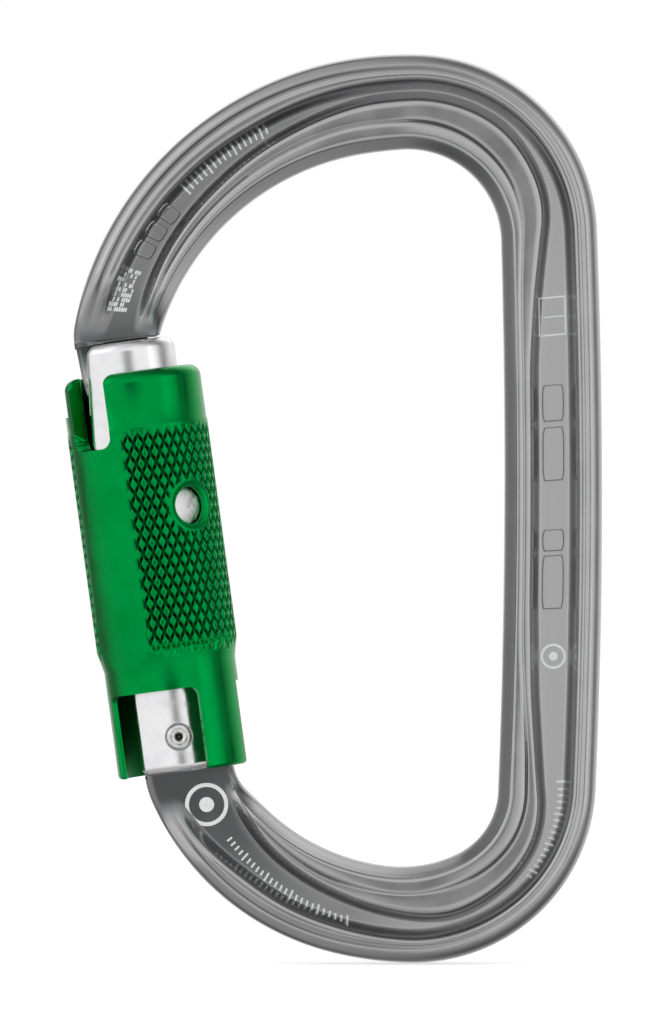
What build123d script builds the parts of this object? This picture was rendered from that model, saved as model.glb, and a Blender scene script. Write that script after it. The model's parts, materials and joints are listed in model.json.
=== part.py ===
"""Locking carabiner: asymmetric D frame, keylock gate, auto-locking sleeve held by a press pin.

Millimetres. The frame stands upright in the XZ plane, its front face towards -Y.
The origin is the inner apex of the top basket, where the rope bears.
"""

from build123d import *
import math
import os

os.makedirs("parts", exist_ok=True)

# Frame outline, clockwise seen from the front: start, heading in degrees, then (radius, sweep in degrees).
OUTER_START = (-40.9, -29.65)
OUTER_HEADING = 99.2
OUTER_ARCS = [(300.0, 1.0), (6.0, 19.2), (42.6, 76.6), (67.9, 2.9), (23.15, 87.3), (878.0, 4.64), (23.0, 87.4),
              (43.3, 15.3), (33.8, 50.6), (12.1, 16.5)]
INNER_START = (-30.8, -23.5)
INNER_HEADING = 73.7
INNER_ARCS = [(32.5, 65.6), (61.0, 3.8), (11.9, 92.6), (990.0, 4.06), (9.25, 62.0), (16.3, 33.0), (26.65, 36.0),
              (120.0, 1.9), (5.2, 37.1)]

# Frame section: a thin web between two thick rails.
WEB_HALF = 2.1
RAIL_HALF = 5.0
OUTER_RAIL = 4.0
INNER_RAIL = 3.9
OUTER_ROUND = 1.4
INNER_ROUND = 2.6

# Hinge and gate axis. Gate coordinates: origin at the rivet, Z up the gate, X towards the inside of the D.
RIVET = (-28.3, -74.6)
GATE_TILT = -7.77
RIVET_R = 1.6
RIVET_HEAD_R = 1.8
RIVET_HEAD_DEPTH = 0.7
RIVET_SINK = 0.2
RUNNING_FIT = 0.05
GAP = 0.15

# Gate body.
GATE_R = 5.15
GATE_HEAD_R = 6.1
GATE_FOOT = -4.5
GATE_TOP = 50.6
HEAD_FOOT = 37.0
FORK_TOP = 6.6
FORK_HALF = WEB_HALF + GAP
HEAD_ROUND = 1.3
HEAD_SIDE_ROUND = 1.6
HEAD_CORNER = (-6.4, 3.3)
HEAD_CUT = [(-4.92, 51.6), (-6.13, 37.0)]
FOOT_TOP = 8.0
FOOT_ROUND = 1.1
FOOT_SIDE_ROUND = 1.3
FOOT_CORNER = (-5.2, 3.0)

# Keylock nose: rings about the hinge axis.
KEY_LOW = 43.3
KEY_HIGH = 46.0
KEY_HALF = 2.4
TONGUE_HALF = 1.8
NOSE_RIGHT = 2.85
NOSE_EDGE = [(-6.45, 52.6), (-6.1, 46.9), (-5.75, 44.6), (-4.9, 43.0)]
NOSE_CHAMFER = 0.6

# Tang: the cam on it lifts the plunger as the gate opens.
CAM_R = 4.6
CAM_RISE = 1.6
CAM_SWEEP = 1.32
TANG_LEFT = -4.95
TANG_RIGHT = 6.15
TANG_FOOT = -5.0
RAIL_CLEAR_R = 9.6
NOSE_RAIL_CLEAR_R = 56.0

# Plunger and gate spring, in a bore up the gate.
PLUNGER_R = 2.0
PLUNGER_BORE_R = 2.05
PLUNGER_TIP = 5.05
PLUNGER_LENGTH = 8.5
PLUNGER_STEM_R = 1.0
PLUNGER_STEM_LENGTH = 3.0
GATE_BORE_END = 24.0
GATE_SPRING_R = 1.9
GATE_SPRING_HOLE_R = 1.2

# Sleeve.
SLEEVE_FOOT = -4.5
SLEEVE_TOP = 46.7
SLEEVE_BORE_R = 7.1
SLEEVE_FOOT_R = 8.4
SLEEVE_GRIP_R = 9.0
SLEEVE_RIM_R = 8.88
STEP_LOW = 9.2
STEP_HIGH = 12.0
GRIP_TOP = 39.6
SLOT_FLOOR = 37.4
SLOT_AZIMUTH = (-64.0, -23.0)
SLOT_MOUTH_ROUND = 1.2
RIM_ROUND = 1.5
SLEEVE_FOOT_ROUND = 0.5
CUTOUT_TOP = 6.1
CUTOUT_AZIMUTH = (-69.0, 23.0)
COUNTERBORE_R = 7.75
COUNTERBORE_TOP = 7.2
REAR_CUTOUT_START = 60.0
REAR_CUTOUT_END = 159.0
REAR_CUTOUT_FRONT_Y = -2.25
NOTCH_HALF = 2.6
NOTCH_FLOOR = 42.0
PANEL_AZIMUTH = -42.5
PANEL_R = 14.0
PANEL_DEPTH = 0.55
PANEL_TILT = 1.0
PANEL_FOOT = 8.6

# Bushes, retaining ring and torsion spring between gate and sleeve.
BUSH_R = SLEEVE_BORE_R - RUNNING_FIT
UPPER_BUSH = (24.6, HEAD_FOOT)
LOWER_BUSH = (9.0, 13.0)
RING = (8.2, 9.0)
RING_R = 6.3
RING_SEAT_R = 4.75
RING_OPENING = 2.4
SLEEVE_SPRING = (13.2, 24.4)
SLEEVE_SPRING_R = (5.5, 6.7)

# Stop pin, at the back of the gate, in a blind slot round the inside of the sleeve.
STOP_AXIAL = 33.5
STOP_R = 1.0
STOP_REACH = 7.8
STOP_DEPTH = 3.0
SLEEVE_TURN = 47.0
HIDDEN_GROOVE_R = 7.95
GROOVE_END_GAP = 1.2

# Lock pin: pressed inwards, it frees the sleeve.
PIN_AZIMUTH = 40.0
PIN_AXIAL = 28.9
PIN_HEAD_R = 2.25
PIN_HOLE_R = 2.4
PIN_FACE = 7.86
PIN_DOME = 0.35
PIN_FLANGE_R = 2.7
PIN_FLANGE = (5.75, 6.4)
PIN_STEM_R = 1.1
PIN_STEM_FOOT = 3.2
PIN_SEAT = 4.1
PIN_SPRING_R = 1.9
PIN_SPRING_HOLE_R = 1.3
PIN_BORE_R = 2.0
PIN_BORE_FLOOR = 1.0


def gate_frame(shape):
    """Carries a shape from gate coordinates to the row frame."""
    return Location((RIVET[0], 0, RIVET[1]), (0, GATE_TILT, 0)) * shape


def chain(start, heading, arcs, shift):
    """Tangent arcs in the XZ plane, all shifted to the right of the direction of travel."""
    angle = math.radians(heading)
    point = Vector(start[0] + shift * math.sin(angle), start[1] - shift * math.cos(angle))
    direction = Vector(math.cos(angle), math.sin(angle))
    edges = []
    for radius, sweep in arcs:
        edge = JernArc(point, direction, radius - shift, -sweep)
        edges.append(edge)
        point = edge @ 1
        direction = edge % 1
    return edges


def band(outer_shift, inner_shift):
    """Flat face between the outer outline moved inwards and the inner outline moved outwards."""
    outer = chain(OUTER_START, OUTER_HEADING, OUTER_ARCS, outer_shift)
    inner = chain(INNER_START, INNER_HEADING, INNER_ARCS, -inner_shift)
    nose = Line(outer[0] @ 0, inner[0] @ 0)
    neck = Line(outer[-1] @ 1, inner[-1] @ 1)
    return make_face(outer + inner + [nose, neck])


def strip(start, heading, arcs, shift_a, shift_b):
    """Flat face between one outline at two shifts."""
    a = chain(start, heading, arcs, shift_a)
    b = chain(start, heading, arcs, shift_b)
    ends = [Line(a[0] @ 0, b[0] @ 0), Line(a[-1] @ 1, b[-1] @ 1)]
    return make_face(a + b + ends)


def plate(face, half):
    """A face of the XZ plane, thickened equally to the front and the back."""
    return extrude(Plane.XZ * face, amount=half, both=True)


def rail(start, heading, arcs, width, rounding):
    """One thick rail, rounded along the outline it follows."""
    solid = plate(strip(start, heading, arcs, 0, width), RAIL_HALF)
    outline = Wire(Plane.XZ * edge for edge in chain(start, heading, arcs, 0))
    rounded = []
    for edge in solid.edges():
        middle = edge @ 0.5
        on_face = abs(abs(middle.Y) - RAIL_HALF) < 1e-4
        if on_face and outline.distance_to(Vertex(middle.X, 0, middle.Z)) < 1e-3:
            rounded.append(edge)
    return fillet(rounded, rounding)


def hinge_cylinder(radius, half):
    """Cylinder along the hinge axis, in gate coordinates."""
    return Rotation(90, 0, 0) * Cylinder(radius, 2 * half)


def nose_ring(low, high, left, right, half):
    """Sector of a ring about the hinge axis, in gate coordinates."""
    ring = hinge_cylinder(high, half) - hinge_cylinder(low, half + 1)
    window = Pos((left + right) / 2, 0, (low + high) / 2) * Box(right - left, 2 * half + 1, high - low + 6)
    return ring & window


def nose_blank(half):
    """Plate in the nose's side outline, chamfered on the outside, in gate coordinates."""
    outline = Polyline(*NOSE_EDGE, (NOSE_RIGHT + 1, NOSE_EDGE[-1][1]), (NOSE_RIGHT + 1, NOSE_EDGE[0][1]), close=True)
    blank = plate(make_face(outline), half)
    outside = []
    for edge in blank.edges():
        middle = edge @ 0.5
        upright = abs((edge @ 1 - edge @ 0).Z) > 1
        if upright and abs(middle.Y) > 1 and middle.X < -5:
            outside.append(edge)
    return chamfer(outside, NOSE_CHAMFER)


def nose():
    """Keylock nose in gate coordinates: a tongue with a wider key at its end."""
    tongue = nose_ring(KEY_HIGH - 0.5, GATE_TOP + 1.2, -9, NOSE_RIGHT, TONGUE_HALF)
    key = nose_ring(KEY_LOW, KEY_HIGH, -9, NOSE_RIGHT, KEY_HALF)
    return (tongue & nose_blank(TONGUE_HALF)) + (key & nose_blank(KEY_HALF))


def tang_face():
    """Outline of the tang in gate coordinates: a cam over the rivet, then down both sides of the neck."""
    cam = []
    for step in range(9):
        beta = CAM_SWEEP * step / 8
        radius = CAM_R + CAM_RISE * beta
        cam.append((radius * math.sin(beta), radius * math.cos(beta)))
    top = Spline(cam, tangents=[(1, CAM_RISE / CAM_R), (math.cos(1.6), -math.sin(1.6))])
    left = CenterArc((0, 0), CAM_R, 90, 90)
    side = Line(left @ 1, (TANG_LEFT, TANG_FOOT))
    right = Line(top @ 1, (TANG_RIGHT, TANG_FOOT))
    foot = Line(side @ 1, right @ 1)
    return make_face([top, left, side, right, foot])


def frame():
    """Body: H-section D, keylock nose and hinge tang."""
    web = plate(band(0, 0), WEB_HALF)
    outer = rail(OUTER_START, OUTER_HEADING, OUTER_ARCS, OUTER_RAIL, OUTER_ROUND)
    inner = rail(INNER_START, INNER_HEADING, INNER_ARCS, -INNER_RAIL, INNER_ROUND)
    nose_zone = Pos(0, 0, 40) * Box(40, 30, 50)
    trim = gate_frame(hinge_cylinder(RAIL_CLEAR_R, 10) + (hinge_cylinder(NOSE_RAIL_CLEAR_R, 10) & nose_zone))
    rails = (outer - trim) + (inner - trim)
    gate_room = gate_frame(hinge_cylinder(GATE_TOP + 2 * GAP, 10) & nose_zone)
    body = (web - gate_room) + rails
    tang = plate(tang_face(), WEB_HALF)
    body = body + gate_frame(nose()) + gate_frame(tang)
    return body - gate_frame(hinge_cylinder(RIVET_R + RUNNING_FIT, 10))


def cheeked(radius, corner, low, high):
    """Cylinder up the gate axis with two flat cheeks, tangent to it, running out to a corner and its mirror point."""
    tangent = math.atan2(corner[1], corner[0]) - math.acos(radius / math.hypot(*corner))
    shoulder = (radius * math.cos(tangent), radius * math.sin(tangent))
    cheeks = Polyline((shoulder[0], -shoulder[1]), (corner[0], -corner[1]), corner, shoulder, close=True)
    plan = Circle(radius) + make_face(cheeks)
    return Pos(0, 0, low) * extrude(plan, amount=high - low)


def upright_edges(solid):
    """Long edges on the side of the gate that faces out of the D."""
    return [edge for edge in solid.edges() if abs((edge @ 1 - edge @ 0).Z) > 8 and (edge @ 0.5).X < -4.5]


def gate_head():
    """Head of the gate, cut flat towards the nose."""
    head = cheeked(GATE_HEAD_R, HEAD_CORNER, HEAD_FOOT, GATE_TOP)
    cut = Polyline(*HEAD_CUT, (-12, HEAD_CUT[-1][1]), (-12, HEAD_CUT[0][1]), close=True)
    head = head - plate(make_face(cut), 12)
    head = fillet(upright_edges(head), HEAD_SIDE_ROUND)
    return fillet(head.edges().group_by(Axis.Z)[-1], HEAD_ROUND)


def gate_foot():
    """Foot of the gate round the rivet."""
    foot = cheeked(GATE_R, FOOT_CORNER, GATE_FOOT, FOOT_TOP)
    foot = fillet(upright_edges(foot), FOOT_SIDE_ROUND)
    return fillet(foot.edges().group_by(Axis.Z)[0], FOOT_ROUND)


def gate():
    """Swinging gate: fork at the foot, slotted head at the top, bores for both springs."""
    stem = Pos(0, 0, (FOOT_TOP + HEAD_FOOT) / 2) * Cylinder(GATE_R, HEAD_FOOT - FOOT_TOP)
    body = stem + gate_head() + gate_foot()
    fork = Pos(0, 0, FORK_TOP - 10) * Box(20, 2 * FORK_HALF, 20)
    key_room = nose_ring(KEY_LOW - GAP, KEY_HIGH + GAP, -12, NOSE_RIGHT + GAP, KEY_HALF + GAP)
    tongue_room = nose_ring(KEY_HIGH, GATE_TOP + 3, -12, NOSE_RIGHT + GAP, TONGUE_HALF + GAP)
    plunger_bore = Pos(0, 0, GATE_BORE_END / 2) * Cylinder(PLUNGER_BORE_R, GATE_BORE_END)
    body = body - fork - key_room - tongue_room - plunger_bore
    body = body - hinge_pin_shape() - rivet_mouths()
    ring_seat = tube(RING_SEAT_R, GATE_R + 1, *RING)
    stop_hole = radial(180, STOP_AXIAL, STOP_R, STOP_DEPTH, 8)
    pin_seat = radial(PIN_AZIMUTH, PIN_AXIAL, PIN_FLANGE_R + RUNNING_FIT, PIN_SEAT, 8)
    pin_bore = radial(PIN_AZIMUTH, PIN_AXIAL, PIN_BORE_R, PIN_BORE_FLOOR, 8)
    return body - ring_seat - stop_hole - pin_seat - pin_bore


def tube(inner, outer, low, high):
    """Plain ring round the gate axis."""
    height = high - low
    return Pos(0, 0, (low + high) / 2) * (Cylinder(outer, height) - Cylinder(inner, height + 1))


def radial(azimuth, axial, radius, start, end):
    """Cylinder pointing out of the gate axis. Azimuth 0 faces the front, positive towards the inside of the D."""
    rod = Pos(0, 0, (start + end) / 2) * Cylinder(radius, end - start)
    return Pos(0, 0, axial) * Rotation(0, 0, azimuth) * Rotation(90, 0, 0) * rod


def rivet_mouths():
    """Room outside both rivet heads, which sit a little below the round of the gate."""
    through = hinge_cylinder(RIVET_HEAD_R, GATE_R + 1)
    return through - hinge_cylinder(RIVET_HEAD_R + 1, GATE_R - RIVET_SINK)


def hinge_pin_shape():
    """Rivet with a countersunk head at each cheek."""
    shaft = hinge_cylinder(RIVET_R, GATE_R)
    half = GATE_R - RIVET_SINK
    head = Rotation(90, 0, 0) * Pos(0, 0, half - RIVET_HEAD_DEPTH / 2) * Cylinder(RIVET_HEAD_R, RIVET_HEAD_DEPTH)
    other = Rotation(-90, 0, 0) * Pos(0, 0, half - RIVET_HEAD_DEPTH / 2) * Cylinder(RIVET_HEAD_R, RIVET_HEAD_DEPTH)
    return (shaft & hinge_cylinder(3, half)) + head + other


def plunger():
    """Plunger with a stem that guides the gate spring."""
    body = Pos(0, 0, PLUNGER_TIP + PLUNGER_LENGTH / 2) * Cylinder(PLUNGER_R, PLUNGER_LENGTH)
    stem_low = PLUNGER_TIP + PLUNGER_LENGTH
    stem = Pos(0, 0, stem_low + PLUNGER_STEM_LENGTH / 2) * Cylinder(PLUNGER_STEM_R, PLUNGER_STEM_LENGTH)
    return body + stem


def sector(low_azimuth, high_azimuth, low, high, inner, outer):
    """Part of a ring round the gate axis between two azimuths."""
    turn = high_azimuth - low_azimuth
    profile = Pos((inner + outer) / 2, (low + high) / 2) * Rectangle(outer - inner, high - low)
    solid = revolve(Plane.XZ * profile, Axis.Z, turn)
    return Rotation(0, 0, low_azimuth - 90) * solid


def arc_slot(low_azimuth, high_azimuth, low, high, corner, floor_up):
    """Slot through the sleeve wall with two rounded corners at its blind end."""
    slot = sector(low_azimuth, high_azimuth, low, high, 6, 11)
    edges = []
    for edge in slot.edges():
        middle = edge @ 0.5
        ends = edge @ 1 - edge @ 0
        flat = abs(ends.Z) < 1e-6
        straight = edge.geom_type == GeomType.LINE
        blind = abs(middle.Z - (low if floor_up else high)) < 1e-6
        if straight and flat and blind:
            edges.append(edge)
    return fillet(edges, corner)


def panel():
    """Shallow convex facet on the grip, running out upwards, with a pointed foot on the taper."""
    depth = SLEEVE_GRIP_R - PANEL_DEPTH
    length = GRIP_TOP - PANEL_FOOT
    block = Pos(0, -10, length / 2) * Box(SLEEVE_GRIP_R * 2, 10, length)
    inside = Pos(0, PANEL_R - depth, 0) * Rotation(PANEL_TILT, 0, 0) * Cylinder(PANEL_R, 3 * length)
    return Rotation(0, 0, PANEL_AZIMUTH) * Pos(0, 0, PANEL_FOOT) * (block - inside)


def slot_mouth():
    """What rounds the corner between the slot's inner side and the rim."""
    side = SLOT_AZIMUTH[1]
    middle = side + math.degrees(SLOT_MOUTH_ROUND / SLEEVE_RIM_R)
    foot = SLEEVE_TOP - SLOT_MOUTH_ROUND
    return sector(side - 1, middle, foot, SLEEVE_TOP + 1, 6, 11) - radial(middle, foot, SLOT_MOUTH_ROUND, 5, 12)


def sleeve():
    """Locking sleeve: a turned tube with a slot, cut-outs, a pin hole and hidden grooves."""
    profile = Polyline(
        (SLEEVE_BORE_R, COUNTERBORE_TOP),
        (COUNTERBORE_R, COUNTERBORE_TOP),
        (COUNTERBORE_R, SLEEVE_FOOT),
        (SLEEVE_FOOT_R, SLEEVE_FOOT),
        (SLEEVE_FOOT_R, STEP_LOW),
        (SLEEVE_GRIP_R, STEP_HIGH),
        (SLEEVE_GRIP_R, GRIP_TOP),
        (SLEEVE_RIM_R, GRIP_TOP + 0.2),
        (SLEEVE_RIM_R, SLEEVE_TOP),
        (SLEEVE_BORE_R, SLEEVE_TOP),
        close=True,
    )
    body = revolve(Plane.XZ * make_face(profile), Axis.Z, 360)
    rings = body.edges().filter_by(GeomType.CIRCLE).group_by(Axis.Z)
    body = fillet(rings[-1].sort_by(SortBy.RADIUS)[-1], RIM_ROUND)
    rings = body.edges().filter_by(GeomType.CIRCLE).group_by(Axis.Z)
    body = fillet(rings[0].sort_by(SortBy.RADIUS)[-1], SLEEVE_FOOT_ROUND)
    body = body - panel()
    body = body - arc_slot(SLOT_AZIMUTH[0], SLOT_AZIMUTH[1], SLOT_FLOOR, SLEEVE_TOP + 2, 1.4, True)
    body = body - slot_mouth()
    body = body - arc_slot(CUTOUT_AZIMUTH[0], CUTOUT_AZIMUTH[1], SLEEVE_FOOT - 2, CUTOUT_TOP, 1.2, False)
    rear = sector(REAR_CUTOUT_START, REAR_CUTOUT_END, SLEEVE_FOOT - 2, CUTOUT_TOP, 5, 11)
    behind = Pos(0, REAR_CUTOUT_FRONT_Y + 15, 0) * Box(40, 30, 40)
    body = body - (rear & behind)
    notch_height = SLEEVE_TOP - NOTCH_FLOOR + 1
    body = body - Pos(-8.5, 0, NOTCH_FLOOR + notch_height / 2) * Box(4, 2 * NOTCH_HALF, notch_height)
    half = math.degrees(math.asin(STOP_R / SLEEVE_BORE_R)) + GROOVE_END_GAP
    stop_low = STOP_AXIAL - STOP_R - GAP
    stop_high = STOP_AXIAL + STOP_R + GAP
    body = body - sector(180 - half, 180 + SLEEVE_TURN + half, stop_low, stop_high, 6.5, HIDDEN_GROOVE_R)
    half = math.degrees(math.asin(PIN_HEAD_R / SLEEVE_BORE_R)) + GROOVE_END_GAP
    pin_low = PIN_AXIAL - PIN_HEAD_R - GAP
    pin_high = PIN_AXIAL + PIN_HEAD_R + GAP
    body = body - sector(PIN_AZIMUTH, PIN_AZIMUTH + SLEEVE_TURN + half, pin_low, pin_high, 6.5, HIDDEN_GROOVE_R)
    return body - radial(PIN_AZIMUTH, PIN_AXIAL, PIN_HOLE_R, 6, 12)


def upper_bush():
    """Upper bush, which also guides the lock pin's flange and passes the stop pin."""
    bush = tube(GATE_R, BUSH_R, *UPPER_BUSH)
    bush = bush - radial(PIN_AZIMUTH, PIN_AXIAL, PIN_FLANGE_R + RUNNING_FIT, 3, 9)
    return bush - radial(180, STOP_AXIAL, STOP_R, 3, 9)


def lower_bush():
    """Lower bush."""
    return tube(GATE_R, BUSH_R, *LOWER_BUSH)


def retaining_ring():
    """Snap ring in a groove of the gate, open at the back."""
    ring = tube(RING_SEAT_R, RING_R, *RING)
    return ring - Pos(0, RING_R, RING[0]) * Box(RING_OPENING, RING_R, 4)


def lock_pin():
    """Lock pin: domed head, flange under the sleeve, stem inside its spring."""
    dome_r = (PIN_HEAD_R**2 + PIN_DOME**2) / (2 * PIN_DOME)
    middle = PIN_HEAD_R / 2
    dome_middle = PIN_FACE - dome_r + math.sqrt(dome_r**2 - middle**2)
    outline = [
        Line((0, PIN_STEM_FOOT), (PIN_STEM_R, PIN_STEM_FOOT)),
        Line((PIN_STEM_R, PIN_STEM_FOOT), (PIN_STEM_R, PIN_FLANGE[0])),
        Line((PIN_STEM_R, PIN_FLANGE[0]), (PIN_FLANGE_R, PIN_FLANGE[0])),
        Line((PIN_FLANGE_R, PIN_FLANGE[0]), (PIN_FLANGE_R, PIN_FLANGE[1])),
        Line((PIN_FLANGE_R, PIN_FLANGE[1]), (PIN_HEAD_R, PIN_FLANGE[1])),
        Line((PIN_HEAD_R, PIN_FLANGE[1]), (PIN_HEAD_R, PIN_FACE - PIN_DOME)),
        ThreePointArc((PIN_HEAD_R, PIN_FACE - PIN_DOME), (middle, dome_middle), (0, PIN_FACE)),
        Line((0, PIN_FACE), (0, PIN_STEM_FOOT)),
    ]
    solid = revolve(Plane.XZ * make_face(outline), Axis.Z, 360)
    return Pos(0, 0, PIN_AXIAL) * Rotation(0, 0, PIN_AZIMUTH) * Rotation(90, 0, 0) * solid


def lock_pin_spring():
    """Envelope of the lock pin's spring."""
    rod = radial(PIN_AZIMUTH, PIN_AXIAL, PIN_SPRING_R, PIN_BORE_FLOOR, PIN_FLANGE[0])
    return rod - radial(PIN_AZIMUTH, PIN_AXIAL, PIN_SPRING_HOLE_R, PIN_BORE_FLOOR - 1, PIN_FLANGE[0] + 1)


def write(name, shape):
    """Writes one sub-part in the row frame."""
    solid = gate_frame(shape) if name != "frame" else shape
    export_step(solid, f"parts/{name}.step")


write("frame", frame())
write("gate", gate())
write("hinge_rivet", hinge_pin_shape())
write("gate_plunger", plunger())
write("gate_spring", tube(GATE_SPRING_HOLE_R, GATE_SPRING_R, PLUNGER_TIP + PLUNGER_LENGTH, GATE_BORE_END))
write("sleeve", sleeve())
write("upper_bush", upper_bush())
write("lower_bush", lower_bush())
write("retaining_ring", retaining_ring())
write("sleeve_spring", tube(SLEEVE_SPRING_R[0], SLEEVE_SPRING_R[1], *SLEEVE_SPRING))
write("stop_pin", radial(180, STOP_AXIAL, STOP_R, STOP_DEPTH, STOP_REACH))
write("lock_pin", lock_pin())
write("lock_pin_spring", lock_pin_spring())
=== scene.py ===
"""Looks of a locking carabiner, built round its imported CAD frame.

Lengths are in millimetres until they become vertices.
"""

import json
import math
import random

import bmesh
import bpy
import numpy as np
from mathutils import Matrix, Vector


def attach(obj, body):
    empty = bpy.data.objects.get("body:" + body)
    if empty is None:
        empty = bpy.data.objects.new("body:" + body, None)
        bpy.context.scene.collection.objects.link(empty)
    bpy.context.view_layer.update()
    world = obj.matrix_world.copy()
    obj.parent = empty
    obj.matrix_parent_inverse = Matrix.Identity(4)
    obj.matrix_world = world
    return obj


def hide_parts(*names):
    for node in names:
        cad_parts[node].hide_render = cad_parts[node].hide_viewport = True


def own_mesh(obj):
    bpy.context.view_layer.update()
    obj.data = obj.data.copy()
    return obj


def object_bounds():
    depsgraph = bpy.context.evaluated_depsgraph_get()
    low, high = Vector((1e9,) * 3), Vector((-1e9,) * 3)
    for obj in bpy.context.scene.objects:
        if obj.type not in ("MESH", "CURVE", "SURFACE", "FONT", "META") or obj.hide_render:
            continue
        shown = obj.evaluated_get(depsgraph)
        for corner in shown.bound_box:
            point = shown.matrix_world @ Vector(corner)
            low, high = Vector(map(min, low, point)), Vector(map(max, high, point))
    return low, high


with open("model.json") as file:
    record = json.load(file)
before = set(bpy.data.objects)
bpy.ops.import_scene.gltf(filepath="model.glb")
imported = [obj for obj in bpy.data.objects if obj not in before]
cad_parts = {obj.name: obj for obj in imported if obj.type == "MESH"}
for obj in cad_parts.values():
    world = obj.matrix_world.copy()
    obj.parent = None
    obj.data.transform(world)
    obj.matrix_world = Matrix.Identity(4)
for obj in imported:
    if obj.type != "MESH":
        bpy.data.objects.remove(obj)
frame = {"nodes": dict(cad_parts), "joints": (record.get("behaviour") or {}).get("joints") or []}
cad_low, cad_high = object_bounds()

MM = 0.001
# Points closer than this, in metres, are one.
WELD = 1e-7
JOINTS = {joint["name"]: joint for joint in frame["joints"]}
RIVET = Vector(JOINTS["gate_swing"]["pos_m"])
GATE_UP = -Vector(JOINTS["sleeve_turn"]["axis"]).normalized()
GATE_RIGHT = Vector((GATE_UP.z, 0, -GATE_UP.x))
GATE = Matrix((
    (GATE_RIGHT.x, 0, GATE_UP.x, RIVET.x),
    (0, 1, 0, RIVET.y),
    (GATE_RIGHT.z, 0, GATE_UP.z, RIVET.z),
    (0, 0, 0, 1),
))

# The two outlines of the bar, as in the CAD model: start, heading, then arcs as (radius, sweep), in degrees.
OUTER = ((-41.69, -24.47), 98.2, [
    (6.0, 19.2), (42.6, 76.6), (67.9, 2.9), (23.15, 87.3), (878.0, 4.64), (23.0, 87.4), (43.3, 15.3),
    (33.8, 50.6), (12.1, 16.5),
])
INNER = ((-30.8, -23.5), 73.7, [
    (32.5, 65.6), (61.0, 3.8), (11.9, 92.6), (990.0, 4.06), (9.25, 62.0), (16.3, 33.0), (26.65, 36.0),
    (120.0, 1.9), (5.2, 37.1),
])
# How many arcs of each outline lie before the places where the two are level with each other.
LEVEL_OUTER = [0, 2, 3, 4, 5, 6, 9]
LEVEL_INNER = [0, 1, 2, 3, 4, 6, 9]

# Half thicknesses of the bar's web and of its rails, and its usual width.
WEB = 2.1
RAIL = 5.0
BAR_WIDTH = 12.3
# The bar's mesh has this many sections, and this many steps between neighbouring rows of section().
STATIONS = 560
REFINE = 3
ARC_POINTS = 200
TRACK_POINTS = 1200


def outline(shape):
    """Points along one outline, with the length travelled at each point and at the end of each arc."""
    (x, z), heading, arcs = shape
    heading = math.radians(heading)
    points, travel, ends = [], [], [0.0]
    for radius, sweep in arcs:
        turn = np.linspace(0, math.radians(sweep), ARC_POINTS)
        xs = x + radius * (math.sin(heading) - np.sin(heading - turn))
        zs = z + radius * (np.cos(heading - turn) - math.cos(heading))
        points.append(np.stack([xs, zs], 1))
        travel.append(ends[-1] + radius * turn)
        x, z = xs[-1], zs[-1]
        heading -= turn[-1]
        ends.append(ends[-1] + radius * turn[-1])
    return np.concatenate(points), np.concatenate(travel), ends


OUTER_POINTS, OUTER_TRAVEL, OUTER_ENDS = outline(OUTER)
INNER_POINTS, INNER_TRAVEL, INNER_ENDS = outline(INNER)
LENGTH = OUTER_ENDS[-1]


def across(u):
    """The outer and inner edge points of the bar at lengths u along the outer outline."""
    level = np.interp(u, [OUTER_ENDS[i] for i in LEVEL_OUTER], [INNER_ENDS[i] for i in LEVEL_INNER])
    outer = np.stack([np.interp(u, OUTER_TRAVEL, OUTER_POINTS[:, k]) for k in (0, 1)], -1)
    inner = np.stack([np.interp(level, INNER_TRAVEL, INNER_POINTS[:, k]) for k in (0, 1)], -1)
    return outer, inner


def track(stations, u, soften=5.0):
    """A value that changes smoothly along the bar: (length, value) pairs joined by lines, then softened."""
    fine = np.linspace(0, LENGTH, TRACK_POINTS)
    line = np.interp(fine, [s[0] for s in stations], [s[1] for s in stations])
    reach = max(1, int(soften / LENGTH * TRACK_POINTS))
    kernel = np.hanning(2 * reach + 1)
    padded = np.concatenate([np.full(reach, line[0]), line, np.full(reach, line[-1])])
    return np.interp(u, fine, np.convolve(padded, kernel / kernel.sum(), "valid"))


# Where the hollow's two walls run across the bar, as a share of its width from the outer edge.
OUTER_WALL = [
    (0, 0.325), (20, 0.345), (40, 0.36), (60, 0.30), (75, 0.275), (90, 0.272), (165, 0.265), (178, 0.27),
    (202, 0.27), (216, 0.31), (230, 0.325), (239, 0.27), (246, 0.25),
]
INNER_WALL = [
    (0, 0.74), (15, 0.675), (30, 0.635), (45, 0.56), (58, 0.46), (78, 0.427), (92, 0.49), (105, 0.635),
    (114, 0.69), (145, 0.69), (156, 0.66), (166, 0.59), (178, 0.485), (196, 0.43), (215, 0.60), (230, 0.70),
    (238, 0.78), (247, 0.88),
]
# The valley along the inner rail, and its depth.
CREASE = [
    (0, 0.82), (10, 0.795), (31, 0.77), (45, 0.73), (54, 0.70), (72, 0.71), (86, 0.735), (105, 0.815),
    (150, 0.81), (165, 0.72), (178, 0.70), (205, 0.72), (217, 0.74), (230, 0.80), (246, 0.86),
]
CREASE_DEPTH = [
    (0, 0.30), (15, 0.55), (45, 0.45), (60, 0.30), (67, 0.75), (84, 0.60), (98, 0.26), (155, 0.26),
    (166, 0.65), (186, 0.60), (198, 0.15), (206, 0.20), (216, 0.55), (232, 0.45), (246, 0.15),
]
# The line along the outer rail where it steps down, and the depth of that step.
DIP = 0.172
STEP_DEPTH = [
    (0, 0.55), (45, 0.55), (60, 0.45), (74, 0.24), (150, 0.22), (195, 0.26), (208, 0.45), (246, 0.6),
]
# How far the section has risen from a flat plate, at the bar's two ends, to a full H.
RISE = [(0, 0.0), (1.5, 0.0), (8.5, 1.0), (236, 1.0), (244, 0.0), (249, 0.0)]


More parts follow.
